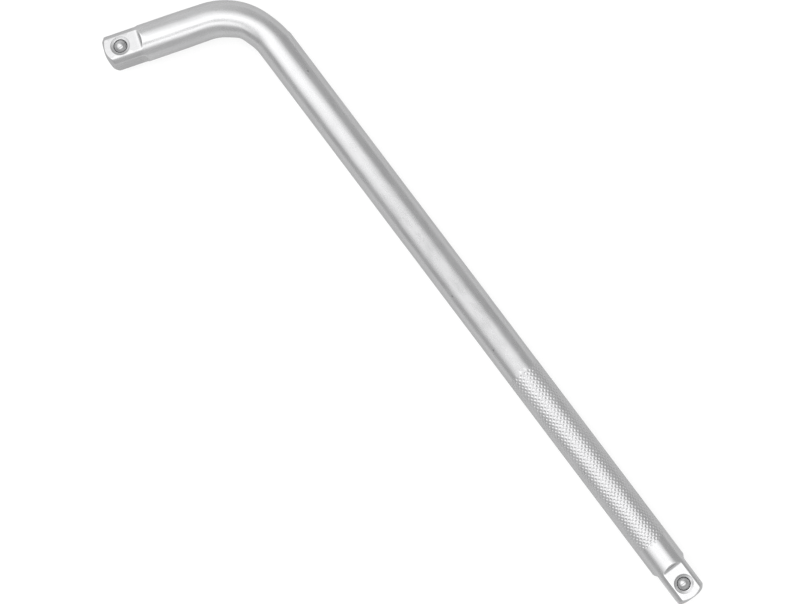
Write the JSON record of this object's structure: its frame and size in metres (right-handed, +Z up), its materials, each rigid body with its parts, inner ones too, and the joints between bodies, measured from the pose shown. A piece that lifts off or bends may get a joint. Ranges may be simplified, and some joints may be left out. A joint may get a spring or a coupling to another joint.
{
  "type": "l-handle socket wrench",
  "caption": "Bent round-bar L-handle with a male square drive and a sprung catch ball at each end, and a knurled grip near the end of the long arm.",
  "frame": {"origin": "on the surface that the handle lies on, under the middle of its box", "axes": "+X along the long arm towards its tip, +Z up, out of the side that the catch balls face, -Y the way the short arm leaves the bend"},
  "size_m": [0.3252, 0.067, 0.0154],
  "materials": {
    "satin_chrome": "satin chrome plate on steel",
    "ball_steel": "polished hardened steel",
    "spring_steel": "drawn spring wire"
  },
  "bodies": {
    "handle": {"handle_bar": "satin_chrome", "long_end_spring": "spring_steel", "short_end_spring": "spring_steel"},
    "long_catch": {"long_end_ball": "ball_steel"},
    "short_catch": {"short_end_ball": "ball_steel"}
  },
  "joints": [
    {"name": "long_catch_press", "type": "slide", "parent": "handle", "child": "long_catch", "axis": [0, -0.0244, -0.9997], "range_m": [0, 0.0012], "stiffness_N_per_m": 3000, "springref_m": -0.0012, "deforming": ["long_end_spring"]},
    {"name": "short_catch_press", "type": "slide", "parent": "handle", "child": "short_catch", "axis": [0.1976, -0.0646, -0.9781], "range_m": [0, 0.0012], "stiffness_N_per_m": 3000, "springref_m": -0.0012, "deforming": ["short_end_spring"]}
  ]
}
